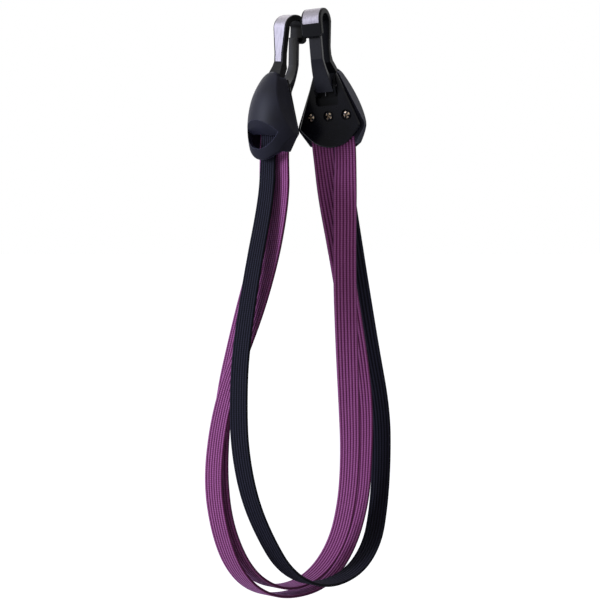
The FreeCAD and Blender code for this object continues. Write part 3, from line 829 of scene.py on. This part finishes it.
# --- Heads ----------------------------------------------------------------------------------
@dataclass
class Head:
    """One head with its hook, gate and fastenings, dressed in its finishes."""

    side: Side
    frame: HeadFrame
    finishes: dict[str, bpy.types.Material]
    node_finish: dict[str, str] = field(default_factory=lambda: {
        "cover": "soft", "back_plate": "polished", "hook": "hook", "hook_strip": "strip",
        "gate": "gate", "gate_pin": "strip", "gate_spring": "spring", "clamp_bar": "strip",
    })

    def dress(self, nodes: dict[str, bpy.types.Object]) -> None:
        """Gives each carried-over piece its finish.

        Args:
            nodes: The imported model's objects by node name.
        """
        for part, finish in self.node_finish.items():
            piece = nodes[f"{self.side.value}_{part}"]
            piece.data.materials.clear()
            piece.data.materials.append(self.finishes[finish])
            log.info("%s gets %s", piece.name, self.finishes[finish].name)

    def build(self, nodes: dict[str, bpy.types.Object]) -> None:
        """Dresses the head and adds its screws."""
        self.dress(nodes)
        PlateScrews(self.side).build(self.frame, self.finishes["screw"], self.finishes["bare"])


# --- Studio ---------------------------------------------------------------------------------
@dataclass
class Studio:
    """Floor, soft lamps, white surroundings and the camera."""

    camera_distance: float = 1.25
    camera_x: float = 0.0063
    eye_level: float = -0.046
    pitch_deg: float = 5.85
    focal_ratio: float = 3.238333  # the focal length over the sensor's width
    floor_z: float = -1.25
    floor_half: float = 14.0
    floor_mottle: float = 0.333  # metres
    floor_glow: float = 0.8
    world_light: float = 0.3
    lamp_target: Vector = field(default_factory=lambda: Vector((0.0, 0.0, -0.2)))

    def build(self) -> None:
        """Makes everything round the object."""
        self.surroundings()
        self.floor()
        self.lamps()
        self.camera()
        bpy.context.scene.view_settings.view_transform = "Standard"

    def surroundings(self) -> None:
        """Makes the world: white to the camera and to reflections, and a plain level of light."""
        world = bpy.data.worlds.new("studio")
        bpy.context.scene.world = world
        world.use_nodes = True
        tree = world.node_tree
        tree.nodes.clear()
        path = add_node(tree, "ShaderNodeLightPath")
        mirrored = add_node(tree, "ShaderNodeMath", {"operation": "MAXIMUM"},
                            i0=path.outputs["Is Glossy Ray"],
                            i1=path.outputs["Is Transmission Ray"])
        seen = add_node(tree, "ShaderNodeMath", {"operation": "MAXIMUM"},
                        i0=path.outputs["Is Camera Ray"], i1=mirrored.outputs[0])
        light = add_node(tree, "ShaderNodeBackground", Color=linear("#f4f6ff"),
                         Strength=self.world_light)
        white = add_node(tree, "ShaderNodeBackground", Color=linear("#ffffff"), Strength=1.0)
        both = add_node(tree, "ShaderNodeMixShader", Fac=seen.outputs[0], i1=light.outputs[0],
                        i2=white.outputs[0])
        add_node(tree, "ShaderNodeOutputWorld", Surface=both.outputs[0])

    def floor(self) -> None:
        """Lays a wide pale floor well below the strap."""
        mesh = bpy.data.meshes.new("floor")
        half = self.floor_half
        mesh.from_pydata([(x, y, self.floor_z) for x, y in
                          ((-half, -half), (half, -half), (half, half), (-half, half))],
                         [], [(0, 1, 2, 3)])
        floor = bpy.data.objects.new("floor", mesh)
        bpy.context.scene.collection.objects.link(floor)
        material, shader = new_material("pale_floor_paint", Roughness=0.9, Specular_IOR_Level=0.1)
        tree = material.node_tree
        place = add_node(tree, "ShaderNodeTexCoord").outputs["Object"]
        mottle = add_node(tree, "ShaderNodeTexNoise", Vector=place, Scale=1 / self.floor_mottle)
        tree.links.new(ramp(tree, mottle.outputs[0], [(0.3, "#f4f4f4"), (0.7, "#f8f8f8")]),
                       shader.inputs["Base Color"])
        path = add_node(tree, "ShaderNodeLightPath")
        glow = add_node(tree, "ShaderNodeMath", {"operation": "MULTIPLY"},
                        i0=path.outputs["Is Camera Ray"], i1=self.floor_glow)
        tree.links.new(glow.outputs[0], shader.inputs["Emission Strength"])
        shader.inputs["Emission Color"].default_value = linear("#ffffff")
        mesh.materials.append(material)

    def lamp(self, name: str, place: tuple[float, float, float], size: float, power: float,
             colour: str) -> None:
        """Adds one square soft lamp that points at the strap's heads.

        Args:
            name: The lamp's name.
            place: Where it stands.
            size: Its side, in metres.
            power: Its power, in watts.
            colour: Its hex colour.
        """
        data = bpy.data.lights.new(name, "AREA")
        data.size, data.energy, data.color = size, power, linear(colour)[:3]
        lamp = bpy.data.objects.new(name, data)
        bpy.context.scene.collection.objects.link(lamp)
        lamp.location = place
        way = self.lamp_target - lamp.location
        lamp.rotation_euler = way.to_track_quat("-Z", "Y").to_euler()

    def lamps(self) -> None:
        """Sets a cool key on the left, a weak fill on the right and a rim lamp behind."""
        self.lamp("key", (-2.15, -0.4, 0.4), 1.0, 48.0, "#e2e8ff")
        self.lamp("fill", (1.8, -1.2, 0.2), 1.2, 3.0, "#fff4ec")
        self.lamp("rim", (-0.6, 1.7, 0.9), 0.9, 6.0, "#ffffff")

    def camera(self) -> None:
        """Puts the camera level with the heads and tips it down towards the loop."""
        data = bpy.data.cameras.new("camera")
        data.lens = data.sensor_width * self.focal_ratio
        data.clip_start, data.clip_end = 0.05, 60.0
        camera = bpy.data.objects.new("camera", data)
        bpy.context.scene.collection.objects.link(camera)
        camera.location = (self.camera_x, -self.camera_distance, self.eye_level)
        camera.rotation_euler = (math.radians(90 - self.pitch_deg), 0.0, 0.0)
        bpy.context.scene.camera = camera


# --- The strap ------------------------------------------------------------------------------
# The middle of each band where it hangs, in millimetres, from the left head round to the right.
BLACK_ROUTE = [
    (-15, -18, -108), (-24, -36, -155), (-31, -50, -203), (-32, -57, -236), (-31, -59, -262),
    (-26, -56, -291), (-17, -48, -317), (-3, -32, -346), (18, -7, -362), (41, 20, -360),
    (55, 41, -345), (60, 56, -322), (62, 60, -291), (61, 58, -255), (52, 50, -210),
    (43, 34, -158), (35, 12, -110),
]
FRONT_ROUTE = [
    (-15, -8, -125), (-27, -17, -166), (-35, -22, -200), (-41, -29, -228), (-44, -33, -256),
    (-45, -36, -284), (-42, -36, -312), (-33, -33, -337), (-21, -22, -354), (-4, -4, -364),
    (16, 17, -361), (31, 33, -343), (38, 36, -315), (40, 34, -281), (39, 28, -250),
    (37, 18, -206), (35, 2, -155), (35, -12, -105),
]
REAR_ROUTE = [
    (-5, -21, -107), (-10, -28, -139), (-19, -33, -172), (-29, -35, -199), (-39, -36, -224),
    (-46, -38, -253), (-49, -41, -286), (-45, -41, -316), (-37, -37, -341), (-24, -26, -359),
    (-5, -6, -369), (21, 23, -368), (38, 43, -348), (47, 50, -318), (49, 51, -288),
    (49, 48, -253), (45, 42, -219), (39, 28, -184), (32, 11, -143), (25, -3, -106),
]


def finishes() -> dict[str, bpy.types.Material]:
    """Makes every finish of the strap.

    Returns:
        The materials by a short name.
    """
    made = {
        "soft": SoftTouchPlastic(),
        "polished": PolishedPlastic(),
        "hook": MouldedNylon("hook_nylon", "#050506", "#0d0d11", specular=0.1),
        "gate": MouldedNylon("gate_nylon", "#0c0c13", "#181822", roughness=0.3, specular=0.26),
        "strip": BrushedSteel("brushed_stainless", "#8a858c", "#aca7ae", roughness=0.5),
        "screw": BrushedSteel("blackened_screw_steel", "#141416", "#2a2a2e", roughness=0.3),
        "bare": BrushedSteel("bare_screw_steel", "#80715f", "#bcaa94", roughness=0.35),
        "spring": BrushedSteel("drawn_spring_wire", "#56565a", "#7c7c80", roughness=0.3),
        # A weave's colours: painted shade for the grooves, the yarn, painted highlight for the
        # crests, the sheen's tint.
        "purple": ElasticWeave("woven_purple_elastic", "#3c142c", "#813a6a", "#b36ba2", "#d6b4e4",
                               sheen=0.5),
        "black": ElasticWeave("woven_black_elastic", "#060609", "#15151d", "#2a2a38", "#4a4a66"),
    }
    return {name: finish.make() for name, finish in made.items()}


def build_strap(frame: dict) -> None:
    """Builds the heads and the bands.

    Args:
        frame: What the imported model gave.
    """
    skins = finishes()
    heads = {side: HeadFrame(side).read(frame["record"]) for side in Side}
    for side, head in heads.items():
        Head(side, head, skins).build(frame["nodes"])
    purple_lies = {"left_lie": Vector((0.55, -0.84, 0.0)), "right_lie": Vector((0.98, 0.2, 0.0))}
    bands = {
        "black": [
            ElasticBand("band_black", BLACK_ROUTE, Position.MIDDLE, clamp_depth=13.0, length=0.68,
                        left_lie=Vector((0.64, -0.77, 0.0)), right_lie=Vector((0.96, 0.28, 0.0)),
                        left_shift=1.2),
        ],
        "purple": [
            ElasticBand("band_purple_front", FRONT_ROUTE, Position.AHEAD, clamp_depth=9.2,
                        length=0.68, **purple_lies),
            ElasticBand("band_purple_rear", REAR_ROUTE, Position.BEHIND, clamp_depth=9.2,
                        length=0.70, **purple_lies),
        ],
    }
    for colour, group in bands.items():
        for band in group:
            band.build(heads, skins[colour], "band_" + colour)


def main(frame: dict) -> None:
    """Builds the studio and the strap.

    Args:
        frame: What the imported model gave.
    """
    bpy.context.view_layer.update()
    Studio().build()
    build_strap(frame)
    bpy.context.view_layer.update()


if __name__ == "__main__":
    logging.basicConfig(level=logging.INFO, format="%(name)s: %(message)s")
    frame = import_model()
    main(frame)
